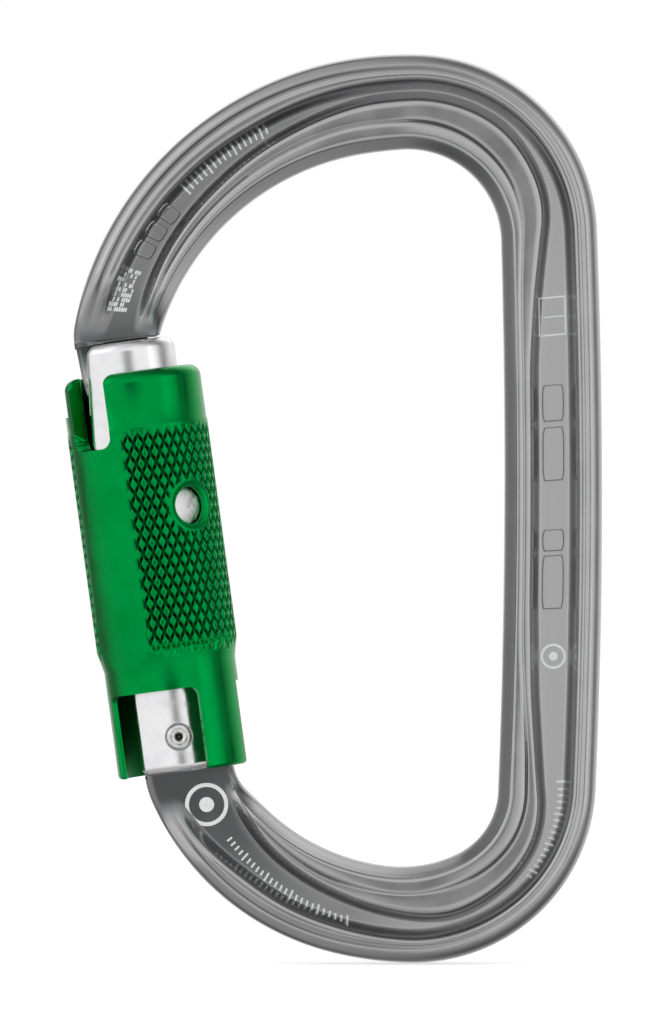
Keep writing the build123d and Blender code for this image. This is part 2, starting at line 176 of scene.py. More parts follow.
def monotone(values, refine):
    """Puts refine - 1 points between neighbours along the last axis, smoothly and without overshoot."""
    step = np.diff(values, axis=-1)
    left, right = step[..., :-1], step[..., 1:]
    same = left * right > 0
    total = np.where(same, left + right, 1.0)
    middle = np.where(same, 2 * left * right / total, 0.0)
    slope = np.concatenate([step[..., :1], middle, step[..., -1:]], -1)
    out = []
    for k in range(refine):
        t = k / refine
        start = (2 * t**3 - 3 * t**2 + 1) * values[..., :-1]
        start_slope = (t**3 - 2 * t**2 + t) * slope[..., :-1]
        end = (3 * t**2 - 2 * t**3) * values[..., 1:]
        end_slope = (t**3 - t**2) * slope[..., 1:]
        out.append(start + start_slope + end + end_slope)
    mixed = np.stack(out, -1).reshape(*values.shape[:-1], -1)
    return np.concatenate([mixed, values[..., -1:]], -1)


def section(u):
    """Front half of the bar's section at lengths u: shares of the width, and the half thickness at each."""
    outer_wall, inner_wall = track(OUTER_WALL, u), track(INNER_WALL, u)
    crease, crease_depth = track(CREASE, u), track(CREASE_DEPTH, u, 3.0)
    step = track(STEP_DEPTH, u)
    # From the outer edge to the inner one: share of the width, then half thickness of the H and of the plate.
    rows = [
        (0.0, 0.0, 0.0),
        (0.0, 2.2, 0.9),
        (0.012, 3.35, 1.55),
        (0.032, 4.05, 1.98),
        (0.085, 4.72, WEB),
        (0.125, 4.98 - 0.05 * step, WEB),
        (DIP, RAIL - step, WEB),
        ((DIP + outer_wall - 0.050) / 2, RAIL - 0.60 * step, WEB),
        (outer_wall - 0.050, RAIL - 0.70 * step, WEB),
        (outer_wall - 0.018, 4.60 - 0.8 * step, WEB),
        (outer_wall + 0.034, 2.80, WEB),
        (outer_wall + 0.064, 2.22, WEB),
        (outer_wall + 0.095, WEB, WEB),
        (inner_wall - 0.065, WEB, WEB),
        (inner_wall - 0.03, 2.40, WEB),
        (inner_wall + 0.026, 4.30 - 0.3 * crease_depth, WEB),
        (inner_wall + 0.060, 4.86 - 0.5 * crease_depth, WEB),
        (crease - 0.020, RAIL - 0.72 * crease_depth, WEB),
        (crease, RAIL - crease_depth, WEB),
        (crease + 0.026, RAIL - 0.40 * crease_depth, WEB),
        (0.868, 4.92, WEB),
        (0.905, 4.25, 2.05),
        (0.950, 3.10, 1.85),
        (0.985, 2.0, 1.4),
        (1.0, 1.0, 0.8),
        (1.0, 0.0, 0.0),
    ]
    one = np.ones_like(u)
    rise = track(RISE, u, 3.0)
    share = np.stack([row[0] * one for row in rows], -1)
    thick = np.stack([plate + rise * (high * one - plate) for _, high, plate in rows], -1)
    return monotone(np.maximum.accumulate(share, -1), REFINE), monotone(thick, REFINE)


def bar_points(u, share, thick):
    """Points of the bar in millimetres."""
    outer, inner = across(u)
    place = outer[:, None] + (inner - outer)[:, None] * share[..., None]
    return np.stack([place[..., 0], thick, place[..., 1]], -1)


GRID_U = np.linspace(0, LENGTH, STATIONS)
GRID_SHARE, GRID_THICK = section(GRID_U)


def on_front(u, share, lift):
    """A point lift millimetres proud of the front face of the bar."""
    place = u / LENGTH * (STATIONS - 1)
    low = min(int(place), STATIONS - 2)
    heights = [np.interp(share, GRID_SHARE[i], GRID_THICK[i]) for i in (low, low + 1)]
    height = heights[0] + (place - low) * (heights[1] - heights[0])
    outer, inner = across(np.array([u]))
    x, z = outer[0] + (inner[0] - outer[0]) * share
    return Vector((x, -height - lift, z)) * MM


def new_object(name, vertices, faces, smooth=True):
    """A mesh object in metres."""
    mesh = bpy.data.meshes.new(name)
    mesh.from_pydata([tuple(v) for v in vertices], [], faces)
    mesh.validate()
    mesh.update()
    obj = bpy.data.objects.new(name, mesh)
    bpy.context.collection.objects.link(obj)
    if smooth:
        mesh.polygons.foreach_set("use_smooth", [True] * len(mesh.polygons))
    return obj


def cad_copy(name, cad_node):
    """A welded copy of a CAD node's mesh."""
    source = frame["nodes"][cad_node]
    mesh = source.data.copy()
    obj = bpy.data.objects.new(name, mesh)
    bpy.context.collection.objects.link(obj)
    work = bmesh.new()
    work.from_mesh(mesh)
    bmesh.ops.transform(work, matrix=source.matrix_world, verts=work.verts)
    bmesh.ops.remove_doubles(work, verts=work.verts, dist=WELD)
    work.to_mesh(mesh)
    work.free()
    return obj


def apply_modifiers(obj):
    """Turns an object's modifiers into plain mesh."""
    graph = bpy.context.evaluated_depsgraph_get()
    mesh = bpy.data.meshes.new_from_object(obj.evaluated_get(graph))
    obj.modifiers.clear()
    obj.data = mesh


def intersect(obj, other):
    """Keeps only what of obj is inside another object, which is then removed."""
    modifier = obj.modifiers.new("intersect", "BOOLEAN")
    modifier.operation = "INTERSECT"
    modifier.solver = "EXACT"
    modifier.object = other
    apply_modifiers(obj)
    bpy.data.objects.remove(other)


def shade(obj, degrees):
    """Smooth shading except at edges sharper than the angle."""
    obj.data.polygons.foreach_set("use_smooth", [True] * len(obj.data.polygons))
    obj.data.set_sharp_from_angle(angle=math.radians(degrees))


def dress(obj, material, body, node_replaced=None):
    """Gives a piece its only material and the body it rides, and hides the CAD node it stands for, if any."""
    obj.data.materials.clear()
    obj.data.materials.append(material)
    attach(obj, body)
    if node_replaced:
        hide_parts(node_replaced)


def join(name, objects):
    """Several objects as one."""
    bpy.ops.object.select_all(action="DESELECT")
    for obj in objects:
        obj.select_set(True)
    bpy.context.view_layer.objects.active = objects[0]
    bpy.ops.object.join()
    objects[0].name = name
    return objects[0]


def smoothstep(low, high, x):
    """0 below low, 1 above high, smooth between."""
    t = np.clip((x - low) / (high - low), 0, 1)
    return t * t * (3 - 2 * t)


# How strongly painted shade darkens the flats of the web along the bar.
FLAT_SHADE = [
    (0, 0.8), (12, 0.5), (45, 0.5), (64, 0.0), (200, 0.0), (212, 0.4), (222, 0.5), (235, 0.85), (246, 0.9),
]
# How strongly painted shade darkens the dip along the outer rail and the walls of the web along the bar.
DIP_SHADE = [(0, 0.55), (25, 0.65), (45, 0.4), (60, 0.2), (78, 0.1), (190, 0.15), (208, 0.5), (240, 0.55)]
WALL_SHADE = [(0, 1.0), (40, 0.9), (60, 0.40), (80, 0.30), (92, 1.0), (165, 1.0), (180, 0.7), (246, 0.7)]
# How far the web's tones and the painted shade in the crease and the dip reach: a height, then two shares of
# the width.
WEB_TONE_FALL = 0.35
CREASE_SPREAD = 0.022
DIP_SPREAD = 0.030


def store(obj, name, values):
    """Stores a value from 0 to 1 on each vertex, for a material to read."""
    attribute = obj.data.attributes.new(name, "FLOAT", "POINT")
    attribute.data.foreach_set("value", np.ravel(values))


def tube_faces(rings, sides):
    """Faces between neighbouring closed rings of vertices."""
    faces = []
    for i in range(rings - 1):
        for j in range(sides):
            k = (j + 1) % sides
            faces.append((i * sides + j, i * sides + k, (i + 1) * sides + k, (i + 1) * sides + j))
    return faces


def front_and_back(front, back):
    """A closed ring for each section: the front half from edge to edge, then the back half the other way."""
    return np.concatenate([front, back[:, -2:0:-1]], 1)


def finish_and_shade(u, share, thick):
    """How strongly each tone shows on the bar: on the web, painted shade on the flats and the blast finish
    with its painted brightening, shared between them; painted shade in the hollows and on the rounded edges.
    """
    def along(table):
        return track(table, u)[:, None]
    web = np.exp(-((thick - WEB) / WEB_TONE_FALL) ** 2)
    height = (thick - WEB) / (RAIL - WEB)
    on_wall = smoothstep(0.05, 0.30, height) * (1 - smoothstep(0.45, 0.72, height)) * along(WALL_SHADE)
    between = (share > along(OUTER_WALL) - 0.07) & (share < along(INNER_WALL) + 0.10)
    crease = np.exp(-((share - along(CREASE)) / CREASE_SPREAD) ** 2) * along(CREASE_DEPTH) * 1.2
    dip = np.exp(-((share - DIP + 0.008) / DIP_SPREAD) ** 2) * along(DIP_SHADE)
    shaded_hollows = np.maximum(np.maximum(on_wall * between, crease), dip)
    return {
        # Painted shade on the flats of the web.
        "flat_shade": web * along(FLAT_SHADE),
        # The rougher blast finish, with a painted brightening.
        "blasted_brightened": web * (1 - along(FLAT_SHADE)),
        # Painted shade in the hollows: the walls of the web, the crease and the dip.
        "hollow_shade": np.clip(shaded_hollows, 0, 1) * along(RISE),
        # Painted shade on the rounded outer and inner edges.
        "darker": np.maximum(0.7 * (1 - smoothstep(0.0, 0.13, share)), smoothstep(0.89, 0.95, share)),
    }


def bar_mesh():
    """The H-section bar from the nose to the neck, with its finish, its painted shade and its painted
    brightening stored on its vertices.
    """
    u, share, thick = GRID_U, GRID_SHARE, GRID_THICK
    ring = front_and_back(bar_points(u, share, -thick), bar_points(u, share, thick))
    size = ring.shape[1]
    faces = tube_faces(STATIONS, size)
    # Each end is closed by a row of faces between the front half of its ring and the back half.
    for i in (0, STATIONS - 1):
        for j in range(share.shape[1] - 1):
            a, b = i * size + j, i * size + j + 1
            c = i * size + (size - j - 1)
            d = i * size + (size - j) % size
            cap = (a, d, c, b) if j else (a, c, b)
            if j == share.shape[1] - 2:
                cap = (a, d, b)
            faces.append(cap if i == 0 else cap[::-1])
    obj = new_object("frame_bar", ring.reshape(-1, 3) * MM, faces)
    for name, values in finish_and_shade(u, share, thick).items():
        store(obj, name, front_and_back(values, values))
    return obj


# The nose's strip beside the cut gets the painted shade of the web's flats. It is thicker than this, and ends
# at this depth below the bar.
STRIP_HALF = 1.95
STRIP_DEPTH = 1.2
# How much painted shade the nose and the tang take, shared with the blast finish and its painted brightening.
END_TONE = 0.9


def frame_end(name, keep, pale):
    """The part of the CAD frame on one side of a cut across the bar: the nose or the tang.

    keep holds planes, each a point and a normal: what lies past any of them is cut off. The first is the cut
    across the bar. The strip beside it gets painted shade like the flats of the web, and pale is how strongly
    the rest takes the blast finish with its painted brightening instead.
    """
    obj = cad_copy(name, "frame")
    work = bmesh.new()
    work.from_mesh(obj.data)
    for point, normal in keep:
        geometry = list(work.verts) + list(work.edges) + list(work.faces)
        bmesh.ops.bisect_plane(work, geom=geometry, plane_co=point, plane_no=normal, clear_outer=True)
        rim = [e for e in work.edges if e.is_boundary]
        bmesh.ops.holes_fill(work, edges=rim)
    work.to_mesh(obj.data)
    work.free()
    cut, outwards = keep[0]
    blasted_brightened = []
    for vertex in obj.data.vertices:
        strip = abs(vertex.co.y) > STRIP_HALF * MM and (cut - vertex.co).dot(outwards) < STRIP_DEPTH * MM
        blasted_brightened.append(0.0 if strip else pale)
    store(obj, "flat_shade", [END_TONE - value for value in blasted_brightened])
    store(obj, "blasted_brightened", blasted_brightened)
    return obj


def node(tree, kind, **settings):
    """A shader node with its properties and inputs set by name."""
    made = tree.nodes.new(kind)
    for key, value in settings.items():
        if key in made.inputs:
            made.inputs[key].default_value = value
        elif hasattr(made, key):
            setattr(made, key, value)
        else:
            made.inputs[key.replace("_", " ")].default_value = value
    return made


def stored(tree, name):
    """A value stored on the vertices, or 0 on a mesh without it."""
    return node(tree, "ShaderNodeAttribute", attribute_name=name).outputs["Fac"]


def ramp(tree, source, low, high, start=0.35, end=0.65):
    """Goes smoothly from low to high as the source goes from start to end."""
    made = node(tree, "ShaderNodeMapRange", interpolation_type="SMOOTHSTEP")
    made.inputs["From Min"].default_value = start
    made.inputs["From Max"].default_value = end
    made.inputs["To Min"].default_value = low
    made.inputs["To Max"].default_value = high
    tree.links.new(source, made.inputs["Value"])
    return made.outputs["Result"]


def mix(tree, factor, a, b):
    """Mixes two colours by a factor socket."""
    made = node(tree, "ShaderNodeMix", data_type="RGBA")
    tree.links.new(factor, made.inputs[0])
    colours = [socket for socket in made.inputs if socket.type == "RGBA"]
    for socket, value in zip(colours, (a, b)):
        if isinstance(value, tuple):
            socket.default_value = (*value, 1.0)
        else:
            tree.links.new(value, socket)
    return next(socket for socket in made.outputs if socket.type == "RGBA")


def noise(tree, scale, detail=4.0, stretch=(1, 1, 1), rotation=(0, 0, 0)):
    """Noise in object space; scale is per metre."""
    where = node(tree, "ShaderNodeTexCoord")
    mapping = node(tree, "ShaderNodeMapping")
    mapping.inputs["Scale"].default_value = stretch
    mapping.inputs["Rotation"].default_value = rotation
    made = node(tree, "ShaderNodeTexNoise", Scale=scale, Detail=detail)
    tree.links.new(where.outputs["Object"], mapping.inputs["Vector"])
    tree.links.new(mapping.outputs["Vector"], made.inputs["Vector"])
    return made.outputs["Fac"]


def bump(tree, height, strength, distance):
    """A bump from a height socket."""
    made = node(tree, "ShaderNodeBump", Strength=strength, Distance=distance)
    tree.links.new(height, made.inputs["Height"])
    return made.outputs["Normal"]


def metal(name, colour, roughness):
    """A plain metal material, with its node tree and its shader."""
    material = bpy.data.materials.new(name)
    material.use_nodes = True
    shader = material.node_tree.nodes["Principled BSDF"]
    shader.inputs["Base Color"].default_value = (*colour, 1.0)
    shader.inputs["Metallic"].default_value = 1.0
    shader.inputs["Roughness"].default_value = roughness
    return material, material.node_tree, shader


def edge_wear(tree, radius):
    """1 on edges and 0 on flats, from how far a bevelled normal leans."""
    bevel = node(tree, "ShaderNodeBevel", samples=4, Radius=radius)
    plain = node(tree, "ShaderNodeNewGeometry")
    dot = node(tree, "ShaderNodeVectorMath", operation="DOT_PRODUCT")
    tree.links.new(bevel.outputs["Normal"], dot.inputs[0])
    tree.links.new(plain.outputs["Normal"], dot.inputs[1])
    return ramp(tree, dot.outputs["Value"], 1.0, 0.0, 0.86, 0.99)


def frame_material():
    """Satin anodised forging: fine grain, soft mottling, pale edges and a rougher blast finish; painted shade
    on the flats of the web, in the hollows and on the rounded edges, and painted brightening with the blast
    finish.
    """
    material, tree, shader = metal("anodised_forging", (0.40, 0.40, 0.41), 0.34)
    mottle = noise(tree, 160.0, 5.0)
    base = mix(tree, ramp(tree, mottle, 0.0, 1.0, 0.3, 0.7), (0.455, 0.455, 0.46), (0.49, 0.49, 0.495))
    blasted_brightened = stored(tree, "blasted_brightened")
    # Painted brightening with the blast finish, which also makes it rougher below.
    base = mix(tree, blasted_brightened, base, (0.56, 0.56, 0.565))
    # Painted shade on the rounded edges of the bar, darkest on the inner edge.
    base = mix(tree, stored(tree, "darker"), base, (0.43, 0.43, 0.435))
    # Painted shade in the hollows: the walls of the web, the crease and the dip turn dark.
    hollow_shade = ramp(tree, stored(tree, "hollow_shade"), 0.0, 0.85, 0.05, 0.85)
    base = mix(tree, hollow_shade, base, (0.17, 0.17, 0.175))
    # Painted shade: the flats of the web turn dark.
    base = mix(tree, stored(tree, "flat_shade"), base, (0.165, 0.168, 0.172))
    base = mix(tree, edge_wear(tree, 0.0003), base, (0.55, 0.55, 0.56))
    tree.links.new(base, shader.inputs["Base Color"])
    grain = noise(tree, 9000.0, 2.0)
    drawn = noise(tree, 1400.0, 3.0, (1, 1, 0.12))
    polish = ramp(tree, mottle, 0.18, 0.24)
    tree.links.new(mix(tree, blasted_brightened, polish, (0.46, 0.46, 0.46)), shader.inputs["Roughness"])
    fine = node(tree, "ShaderNodeMath", operation="ADD")
    tree.links.new(grain, fine.inputs[0])
    tree.links.new(drawn, fine.inputs[1])
    tree.links.new(bump(tree, fine.outputs[0], 0.22, 0.00002), shader.inputs["Normal"])
    return material


def laser_material():
    """Pale laser marking on the anodising."""
    material, tree, shader = metal("laser_mark", (0.85, 0.86, 0.86), 0.55)
    shader.inputs["Metallic"].default_value = 0.35
    speck = noise(tree, 7000.0, 3.0)
    tree.links.new(mix(tree, ramp(tree, speck, 0.0, 1.0), (0.78, 0.79, 0.79), (0.92, 0.93, 0.93)),
                   shader.inputs["Base Color"])
    return material


def gate_material():
    """Polished bare aluminium with faint lengthwise drawing lines and hairline scuffs."""
    material, tree, shader = metal("polished_gate", (0.90, 0.90, 0.91), 0.12)
    lines = noise(tree, 5000.0, 2.0, (1, 1, 0.03), (0, math.atan2(GATE_UP.x, GATE_UP.z), 0))
    scuff = noise(tree, 420.0, 6.0)
    tree.links.new(ramp(tree, scuff, 0.20, 0.32, 0.45, 0.75), shader.inputs["Roughness"])
    tree.links.new(mix(tree, ramp(tree, scuff, 0.0, 1.0, 0.3, 0.8), (0.92, 0.92, 0.93), (0.84, 0.84, 0.855)),
                   shader.inputs["Base Color"])
    tree.links.new(bump(tree, lines, 0.10, 0.00001), shader.inputs["Normal"])
    return material


def sleeve_material():
    """Green anodised aluminium, satin, lighter on its edges, with painted shade in the grooves of the knurl.
    """
    material, tree, shader = metal("green_anodising", (0.0, 0.30, 0.055), 0.30)
    mottle = noise(tree, 260.0, 5.0)
    base = mix(tree, ramp(tree, mottle, 0.0, 1.0, 0.3, 0.7), (0.0, 0.275, 0.048), (0.0, 0.33, 0.062))
    base = mix(tree, edge_wear(tree, 0.00012), base, (0.01, 0.36, 0.08))
    # Painted shade in the grooves of the knurl.
    groove = stored(tree, "groove")
    base = mix(tree, ramp(tree, groove, 0.0, 1.0, 0.12, 0.75), base, (0.0, 0.05, 0.012))
    tree.links.new(base, shader.inputs["Base Color"])
    tree.links.new(ramp(tree, mottle, 0.17, 0.25), shader.inputs["Roughness"])
    tree.links.new(bump(tree, noise(tree, 8000.0, 2.0), 0.12, 0.00001), shader.inputs["Normal"])
    return material


def steel_material(name, colour, roughness):
    """Turned or ground steel with fine specks, and painted shade where it is sunk."""
    material, tree, shader = metal(name, colour, roughness)
    speck = noise(tree, 1500.0, 5.0)
    pale = tuple(min(1.0, c * 1.12) for c in colour)
    darker = tuple(c * 0.82 for c in colour)
    base = mix(tree, ramp(tree, speck, 0.0, 1.0, 0.3, 0.7), darker, pale)
    # Painted shade where the vertices are marked sunk, as in the rivet's dimples.
    sunk = stored(tree, "sunk")
    tree.links.new(mix(tree, sunk, base, (0.11, 0.11, 0.11)), shader.inputs["Base Color"])
    tree.links.new(ramp(tree, speck, roughness * 0.8, roughness * 1.4), shader.inputs["Roughness"])
    tree.links.new(bump(tree, noise(tree, 6000.0, 2.0), 0.15, 0.00001), shader.inputs["Normal"])
    return material


def bush_material():
    """Moulded black acetal."""
    material, tree, shader = metal("black_acetal", (0.03, 0.03, 0.03), 0.45)
    shader.inputs["Metallic"].default_value = 0.0
    tree.links.new(ramp(tree, noise(tree, 900.0), 0.38, 0.55), shader.inputs["Roughness"])
    return material


# The sleeve's knurl, in gate coordinates. Azimuth 0 faces the front, positive towards the inside of the D.
KNURL_R = 8.965
KNURL_DEPTH = 0.36
# A groove's depth by its distance from the groove's middle, in pitches.
GROOVE_PROFILE = ([0.0, 0.125, 0.25], [1.0, 0.50, 0.0])
# Grooves of one hand round the sleeve, their pitch along it, and mesh steps for each pitch.
KNURL_COUNT = 42
KNURL_PITCH = 2.53
KNURL_STEPS = 8
KNURL_LOW = 10.9
KNURL_ROWS = 90
KNURL_HIGH = KNURL_LOW + KNURL_ROWS * KNURL_PITCH / KNURL_STEPS
KNURL_FADE = 1.1
# The smooth panel, in degrees of azimuth.
PANEL = (-71.0, -14.0)
# The lock pin's hole and the dished smooth spot round it.
PIN_AZIMUTH = 40.0
PIN_AXIAL = 28.9
PIN_HOLE_R = 2.4
SPOT_R = 3.3
SPOT_DEPTH = 0.28
SPOT_EDGE = 0.3
# The blank stands clear of the plain parts of the sleeve, and reaches past both its ends.
BLANK_R = 9.4
BLANK_ENDS = (-8.0, 50.0)
HAIR = 0.01
# Above this height, what lies below the knurl's tops is a groove and not the sleeve's lower step.
STEP_TOP = 12.0


def knurl_radius(azimuth, axial):
    """Radius of the knurled surface, outside which the sleeve is cut away."""
    groove = np.zeros_like(azimuth)
    for way in (1, -1):
        phase = azimuth / 360.0 * KNURL_COUNT + way * (axial - KNURL_LOW) / KNURL_PITCH
        off = np.abs(phase - np.round(phase))
        groove = np.maximum(groove, np.interp(off, *GROOVE_PROFILE))
    ends = 1 - smoothstep(KNURL_HIGH - KNURL_FADE, KNURL_HIGH, axial)
    groove[(azimuth > PANEL[0]) & (azimuth < PANEL[1])] = 0
    sideways = np.radians(azimuth - PIN_AZIMUTH) * KNURL_R
    from_pin = np.hypot(sideways, axial - PIN_AXIAL)
    plain = smoothstep(SPOT_R, SPOT_R + SPOT_EDGE, from_pin)
    radius = KNURL_R - KNURL_DEPTH * groove * ends * plain
    radius = radius - SPOT_DEPTH * (1 - smoothstep(PIN_HOLE_R, SPOT_R, from_pin))
    return np.where(axial < KNURL_LOW - HAIR / 10, BLANK_R, radius)


def knurl_blank():
    """Solid round the gate axis whose side carries the knurl.

    The grid's diagonals run along the grooves, and each cell has a point in its middle, so both sets show.
    """
    columns = KNURL_COUNT * KNURL_STEPS
    azimuths = np.arange(columns) * 360.0 / columns - 180.0
    axials = KNURL_LOW + np.arange(KNURL_ROWS + 1) * KNURL_PITCH / KNURL_STEPS
    axials = np.concatenate([[BLANK_ENDS[0], KNURL_LOW - HAIR], axials, [KNURL_HIGH + HAIR, BLANK_ENDS[1]]])
    grid_a, grid_z = np.meshgrid(azimuths, axials)
    middle_a, middle_z = np.meshgrid(azimuths + 180.0 / columns, (axials[1:] + axials[:-1]) / 2)
    corner_r = knurl_radius(grid_a, grid_z)
    middle_r = knurl_radius(middle_a, middle_z)
    azimuth = np.radians(np.concatenate([grid_a.ravel(), middle_a.ravel()]))
    radius = np.concatenate([corner_r.ravel(), middle_r.ravel()])
    axial = np.concatenate([grid_z.ravel(), middle_z.ravel()])
    points = np.stack([radius * np.sin(azimuth), -radius * np.cos(azimuth), axial], -1)
    rows = len(axials)
    faces = []
    for i in range(rows - 1):
        for j in range(columns):
            k = (j + 1) % columns
            ring = (i * columns + j, i * columns + k, (i + 1) * columns + k, (i + 1) * columns + j)
            centre = rows * columns + i * columns + j
            for n in range(4):
                faces.append((ring[n], ring[(n + 1) % 4], centre))
    faces.append(tuple(range(columns))[::-1])
    faces.append(tuple(range((rows - 1) * columns, rows * columns)))
    return new_object("knurl_blank", [GATE @ Vector(p * MM) for p in points], faces)


def mark_grooves(obj):
    """Stores how deep each point lies in the knurl, for the painted shade in its grooves."""
    places = np.empty(len(obj.data.vertices) * 3)
    obj.data.vertices.foreach_get("co", places)
    to_gate = np.array(GATE.inverted())
    local = (places.reshape(-1, 3) @ to_gate[:3, :3].T + to_gate[:3, 3]) / MM
    radius = np.hypot(local[:, 0], local[:, 1])
    azimuth = np.degrees(np.arctan2(local[:, 0], -local[:, 1]))
    sideways = np.radians(azimuth - PIN_AZIMUTH) * KNURL_R
    clear_of_pin = np.hypot(sideways, local[:, 2] - PIN_AXIAL) > SPOT_R
    knurled = (azimuth < PANEL[0]) | (azimuth > PANEL[1])
    level = (local[:, 2] > STEP_TOP) & (local[:, 2] < KNURL_HIGH) & (radius > KNURL_R - 1.2 * KNURL_DEPTH)
    depth = np.where(clear_of_pin & knurled & level, (KNURL_R - radius) / KNURL_DEPTH, 0.0)
    store(obj, "groove", np.clip(depth, 0, 1))


def make_sleeve():
    """The CAD sleeve with its knurl cut in."""
    obj = cad_copy("sleeve_knurled", "sleeve")
    intersect(obj, knurl_blank())
    shade(obj, 28)
    mark_grooves(obj)
    dress(obj, sleeve_material(), "sleeve", "sleeve")


def end_line(u):
    """A point on one end line of the bar and the unit vector along it."""
    outer, inner = across(np.array([u]))
    along = Vector((inner[0, 0] - outer[0, 0], 0, inner[0, 1] - outer[0, 1])).normalized()
    return Vector((outer[0, 0], 0, outer[0, 1])) * MM, along


# Planes that part the nose and the tang from the rest of the CAD frame, as places along X and Z.
NOSE_KEEP = {"right": -20.0, "foot": -45.0}
TANG_KEEP = {"right": -15.0, "top": -60.0}
# How strongly the nose takes the rougher blast finish with its painted brightening.
NOSE_BLASTED_BRIGHTENED = 0.75


def make_frame():
    """The bar, joined to the nose and the tang."""
    bar = bar_mesh()
    cut, along = end_line(0.0)
    nose = frame_end("frame_nose", [
        (cut, Vector((-along.z, 0, along.x))),
        (Vector((0, 0, NOSE_KEEP["foot"])) * MM, Vector((0, 0, -1))),
        (Vector((NOSE_KEEP["right"], 0, 0)) * MM, Vector((1, 0, 0))),
    ], NOSE_BLASTED_BRIGHTENED)
    cut, along = end_line(LENGTH)
    tang = frame_end("frame_tang", [
        (cut, Vector((along.z, 0, -along.x))),
        (Vector((0, 0, TANG_KEEP["top"])) * MM, Vector((0, 0, 1))),
        (Vector((TANG_KEEP["right"], 0, 0)) * MM, Vector((1, 0, 0))),
    ], 0.0)
    bar = join("frame_body", [bar, nose, tang])
    shade(bar, 40)
    dress(bar, frame_material(), "frame", "frame")


# How far the laser marks and the embossing stand proud of the front face, and how far both reach into it.
MARK_LIFT = 0.02
EMBOSS = 0.26
MARK_SUNK = 0.06
CORNER_EASE = 0.08
RING_SIDES = 48


def relief(name, place, rows, columns, lift, flare):
    """A thin closed pad on the front face, with sides that flare outwards downwards.

    place(s, t) gives (length, share) for s and t from 0 to 1.
    """
    vertices = []
    for height, spread in ((lift, 0.0), (-MARK_SUNK, 1.0)):
        for i in range(rows + 1):
            for j in range(columns + 1):
                s = i / rows + spread * flare[0] * (2 * i / rows - 1)
                t = j / columns + spread * flare[1] * (2 * j / columns - 1)
                vertices.append(on_front(*place(s, t), height))
    width = columns + 1
    under = (rows + 1) * width
    faces = []
    for i in range(rows):
        for j in range(columns):
            a = i * width + j
            faces.append((a, a + 1, a + width + 1, a + width))
            faces.append((under + a, under + a + width, under + a + width + 1, under + a + 1))
    rim = list(range(columns))
    rim += [i * width + columns for i in range(rows)]
    rim += [rows * width + j for j in range(columns, 0, -1)]
    rim += [i * width for i in range(rows, 0, -1)]
    for a, b in zip(rim, rim[1:] + rim[:1]):
        faces.append((a, under + a, under + b, b))
    return new_object(name, vertices, faces, smooth=False)


def pad(name, low_u, high_u, low_share, high_share, lift):
    """A rectangle on the bar, with its corners eased."""
    def place(s, t):
        ease = CORNER_EASE * min(1.0, abs(2 * s - 1) ** 6)
        share = low_share + (high_share - low_share) * (ease + (1 - 2 * ease) * t)
        return low_u + (high_u - low_u) * s, share
    steps = max(2, int(high_u - low_u) * 2)
    slope = 0.7 * lift
    flare = (slope / (high_u - low_u), slope / (BAR_WIDTH * (high_share - low_share)))
    return relief(name, place, steps, 6, lift, flare)


def ring_mark(name, u, share, outer_r, inner_r):
    """A flat ring on the web of the bar."""
    centre = on_front(u, share, MARK_LIFT)
    vertices = []
    for depth in (0.0, MARK_LIFT + MARK_SUNK):
        for radius in (inner_r, outer_r):
            for k in range(RING_SIDES):
                angle = 2 * math.pi * k / RING_SIDES
                point = Vector((radius * math.cos(angle), depth, radius * math.sin(angle)))
                vertices.append(centre + point * MM)
    faces = []
    below = 2 * RING_SIDES
    for k in range(RING_SIDES):
        inner, outer = k, RING_SIDES + k
        next_inner, next_outer = (k + 1) % RING_SIDES, RING_SIDES + (k + 1) % RING_SIDES
        faces.append((inner, outer, next_outer, next_inner))
        faces.append((outer, outer + below, next_outer + below, next_outer))
        faces.append((next_inner, next_inner + below, inner + below, inner))
    return new_object(name, vertices, faces, smooth=False)


# Rows of ticks: start and end along the bar, then the shares between which a long tick lies at each of them.
TICK_ROWS = [
    (25.5, 42.5, (0.39, 0.51), (0.39, 0.51)),
    (167.5, 184.5, (0.315, 0.41), (0.275, 0.39)),
    (212.5, 236.5, (0.31, 0.42), (0.445, 0.555)),
]
TICK_PITCH = 0.95
TICK_WIDTH = 0.32
SHORT_TICK = 0.62
LONG_TICK_EVERY = 5
# The patch of dots: its span along the bar and across it, how many on a side, and how many of them are there.
DOT_PATCH = ((4.2, 11.2), (0.33, 0.55))
DOT_COUNT = 9
DOT_CHANCE = 0.55
DOT_SIZE = 0.85
# Rings: place along the bar, share, then outer and inner radius of the ring and of the dot in its middle.
RINGS = [
    ("ring", 151.6, 0.48, 1.6, 1.3, 0.55),
    ("large_ring", 242.5, 0.535, 2.75, 2.25, 0.95),
]
DOT_HOLE_R = 0.05
# The outline of an open booklet: strips from and to along the bar, from and to across it.
OUTLINE = [
    (105.6, 105.8, 0.35, 0.635), (108.1, 108.25, 0.35, 0.635), (110.4, 110.6, 0.35, 0.635),
    (105.6, 110.6, 0.350, 0.364), (105.6, 110.6, 0.621, 0.635),
]
# Blank embossed bars: places along the bar, shares, and how strongly they take the blast finish with its
# painted brightening.
SPINE_BARS = ([(117.0, 121.4), (122.4, 129.0), (135.5, 138.0), (138.8, 145.4)], (0.40, 0.60), 1.0)
ARM_BARS = ([(13.4, 15.6), (16.7, 18.9), (20.0, 22.2)], (0.37, 0.56), 0.5)


